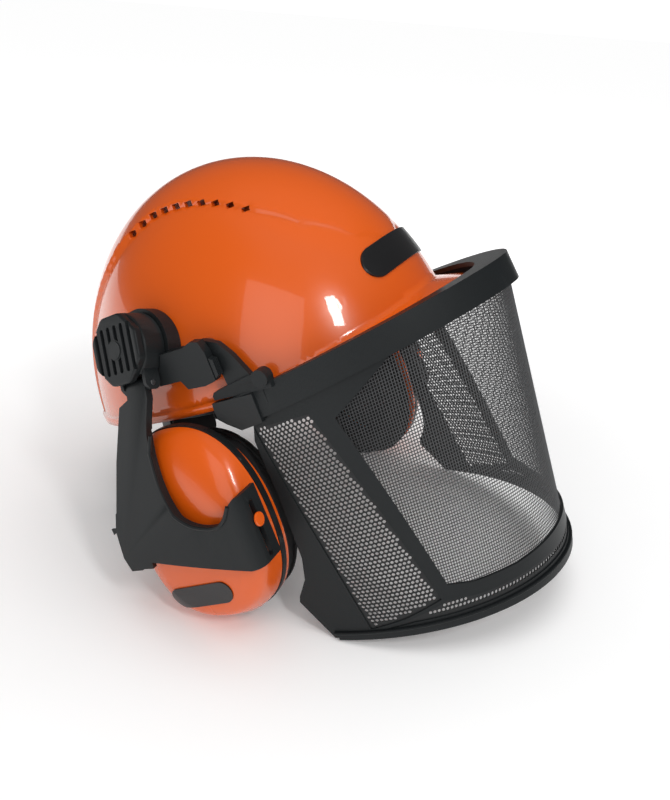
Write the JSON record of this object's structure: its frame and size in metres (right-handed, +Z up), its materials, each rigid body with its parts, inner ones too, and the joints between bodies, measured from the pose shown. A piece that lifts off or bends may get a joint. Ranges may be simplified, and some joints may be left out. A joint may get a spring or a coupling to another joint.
{
  "type": "hard hat",
  "caption": "Orange forestry hard hat with a vented shell, lift-up mesh visor in an arched frame and swing-out ear muffs on turning side hubs.",
  "frame": {"origin": "on the table plane under the middle of the hat's bounding box, the hat tipped back on its visor corners and muffs", "axes": "+Z up, -Y the way the visor faces, +X the wearer's left"},
  "size_m": [0.295, 0.3455, 0.2468],
  "materials": {
    "shell_plastic": "glossy orange ABS",
    "cup_plastic": "glossy orange plastic",
    "badge_print": "dark blank label",
    "wire_mesh": "dark lacquered wire cloth",
    "pin_steel": "plain steel",
    "cushion_skin": "soft black skin",
    "liner_foam": "open foam",
    "sweat_leather": "padded sweatband",
    "strap_fabric": "woven textile strap",
    "black_plastic": "satin moulded plastic"
  },
  "bodies": {
    "base": {"shell": "shell_plastic", "front_badge": "badge_print", "headband": "black_plastic", "sweatband": "sweat_leather", "cradle_strap_1": "strap_fabric", "cradle_strap_2": "strap_fabric", "cradle_strap_3": "strap_fabric", "strap_keys": "black_plastic", "nape_strap_r": "black_plastic", "nape_strap_l": "black_plastic", "ratchet_case": "black_plastic", "hub_base_r": "black_plastic", "visor_pin_r": "pin_steel", "visor_detent_r": "black_plastic", "hub_bolt_r": "pin_steel", "hub_spring_r": "pin_steel", "hub_base_l": "black_plastic", "visor_pin_l": "pin_steel", "visor_detent_l": "black_plastic", "hub_bolt_l": "pin_steel", "hub_spring_l": "pin_steel"},
    "visor": {"visor_bracket": "black_plastic", "visor_screen": "black_plastic", "visor_mesh": "wire_mesh"},
    "knob_r": {"hub_knob_r": "black_plastic", "hub_face_r": "black_plastic", "swing_pin_r": "pin_steel"},
    "arm_r": {"muff_arm_r": "black_plastic"},
    "pins_r": {"muff_pins_r": "cup_plastic"},
    "cup_r": {"muff_cup_r": "cup_plastic", "muff_cup_rim_r": "black_plastic", "muff_seal_ring_r": "cup_plastic", "muff_cushion_r": "cushion_skin", "muff_foam_r": "liner_foam", "cup_badge_r": "badge_print"},
    "knob_l": {"hub_knob_l": "black_plastic", "hub_face_l": "black_plastic", "swing_pin_l": "pin_steel"},
    "arm_l": {"muff_arm_l": "black_plastic"},
    "pins_l": {"muff_pins_l": "cup_plastic"},
    "cup_l": {"muff_cup_l": "cup_plastic", "muff_cup_rim_l": "black_plastic", "muff_seal_ring_l": "cup_plastic", "muff_cushion_l": "cushion_skin", "muff_foam_l": "liner_foam", "cup_badge_l": "badge_print"},
    "ratchet": {"ratchet_knob": "black_plastic", "ratchet_pinion": "black_plastic"},
    "rack_r": {"ratchet_rack_r": "black_plastic"},
    "rack_l": {"ratchet_rack_l": "black_plastic"}
  },
  "joints": [
    {"name": "visor_swing", "type": "hinge", "parent": "base", "child": "visor", "pos_m": [0, 0.03289, 0.16008], "axis": [-1, 0, 0], "range_deg": [0, 90]},
    {"name": "muff_turn_r", "type": "hinge", "parent": "base", "child": "knob_r", "pos_m": [-0.097, 0.0746, 0.14983], "axis": [0.9418, -0.254, -0.2202], "range_deg": [0, 14]},
    {"name": "muff_swing_r", "type": "hinge", "parent": "knob_r", "child": "arm_r", "pos_m": [-0.1188, 0.06612, 0.13674], "axis": [0.1258, 0.8736, -0.4701], "range_deg": [0, 30]},
    {"name": "muff_height_r", "type": "slide", "parent": "arm_r", "child": "pins_r", "axis": [0, 0.4368, 0.8996], "range_m": [-0.01, 0.002]},
    {"name": "cup_tilt_r", "type": "hinge", "parent": "pins_r", "child": "cup_r", "pos_m": [-0.1336, 0.02551, 0.06361], "axis": [0, 0.8996, -0.4368], "range_deg": [-1, 4]},
    {"name": "muff_turn_l", "type": "hinge", "parent": "base", "child": "knob_l", "pos_m": [0.097, 0.0746, 0.14983], "axis": [0.9418, 0.254, 0.2202], "range_deg": [0, 14]},
    {"name": "muff_swing_l", "type": "hinge", "parent": "knob_l", "child": "arm_l", "pos_m": [0.1188, 0.06612, 0.13674], "axis": [0.1258, -0.8736, 0.4701], "range_deg": [0, 30]},
    {"name": "muff_height_l", "type": "slide", "parent": "arm_l", "child": "pins_l", "axis": [0, 0.4368, 0.8996], "range_m": [-0.01, 0.002]},
    {"name": "cup_tilt_l", "type": "hinge", "parent": "pins_l", "child": "cup_l", "pos_m": [0.1336, 0.02551, 0.06361], "axis": [0, -0.8996, 0.4368], "range_deg": [-1, 4]},
    {"name": "ratchet_turn", "type": "hinge", "parent": "base", "child": "ratchet", "pos_m": [0, 0.11294, 0.0445], "axis": [0, 0.8996, -0.4368], "range_deg": [0, 60]},
    {"name": "rack_slide_r", "type": "slide", "parent": "base", "child": "rack_r", "axis": [1, 0, 0], "range_m": [0, 0.0053]},
    {"name": "rack_slide_l", "type": "slide", "parent": "base", "child": "rack_l", "axis": [-1, 0, 0], "range_m": [0, 0.0053]}
  ],
  "couplings": [
    {"joint": "rack_slide_r", "follows": "ratchet_turn", "m_per_rad": 0.005},
    {"joint": "rack_slide_l", "follows": "ratchet_turn", "m_per_rad": 0.005}
  ]
}
